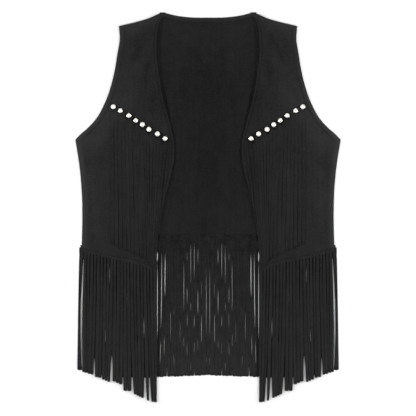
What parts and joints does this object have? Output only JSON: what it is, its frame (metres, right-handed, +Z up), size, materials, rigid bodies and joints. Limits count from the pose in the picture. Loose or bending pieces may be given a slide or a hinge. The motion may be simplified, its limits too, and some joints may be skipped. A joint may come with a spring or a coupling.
{
  "type": "fringed western vest",
  "caption": "Open-fronted black suede-cloth vest laid flat, with slit fringe along the hem and across the chest under rows of dome studs.",
  "frame": {"origin": "centre of the laid-out vest's box, on the surface that it lies on", "axes": "+Z up from that surface, +Y along the vest towards the neck, +X across it towards the wearer's left"},
  "size_m": [0.451, 0.6631, 0.0103],
  "materials": {
    "suede_cloth": "matte brushed nap",
    "suede_fringe": "matte brushed nap, cut edges",
    "stud_metal": "polished nickel plate"
  },
  "bodies": {
    "root": {"back_panel": "suede_cloth", "front_panel_left": "suede_cloth", "front_panel_right": "suede_cloth", "back_hem_fringe": "suede_fringe", "front_hem_fringe_left": "suede_fringe", "front_hem_fringe_right": "suede_fringe", "chest_fringe_left": "suede_fringe", "chest_fringe_right": "suede_fringe", "stud_left_1": "stud_metal", "stud_left_2": "stud_metal", "stud_left_3": "stud_metal", "stud_left_4": "stud_metal", "stud_left_5": "stud_metal", "stud_left_6": "stud_metal", "stud_left_7": "stud_metal", "stud_left_8": "stud_metal", "stud_right_1": "stud_metal", "stud_right_2": "stud_metal", "stud_right_3": "stud_metal", "stud_right_4": "stud_metal", "stud_right_5": "stud_metal", "stud_right_6": "stud_metal", "stud_right_7": "stud_metal", "stud_right_8": "stud_metal"}
  },
  "joints": []
}
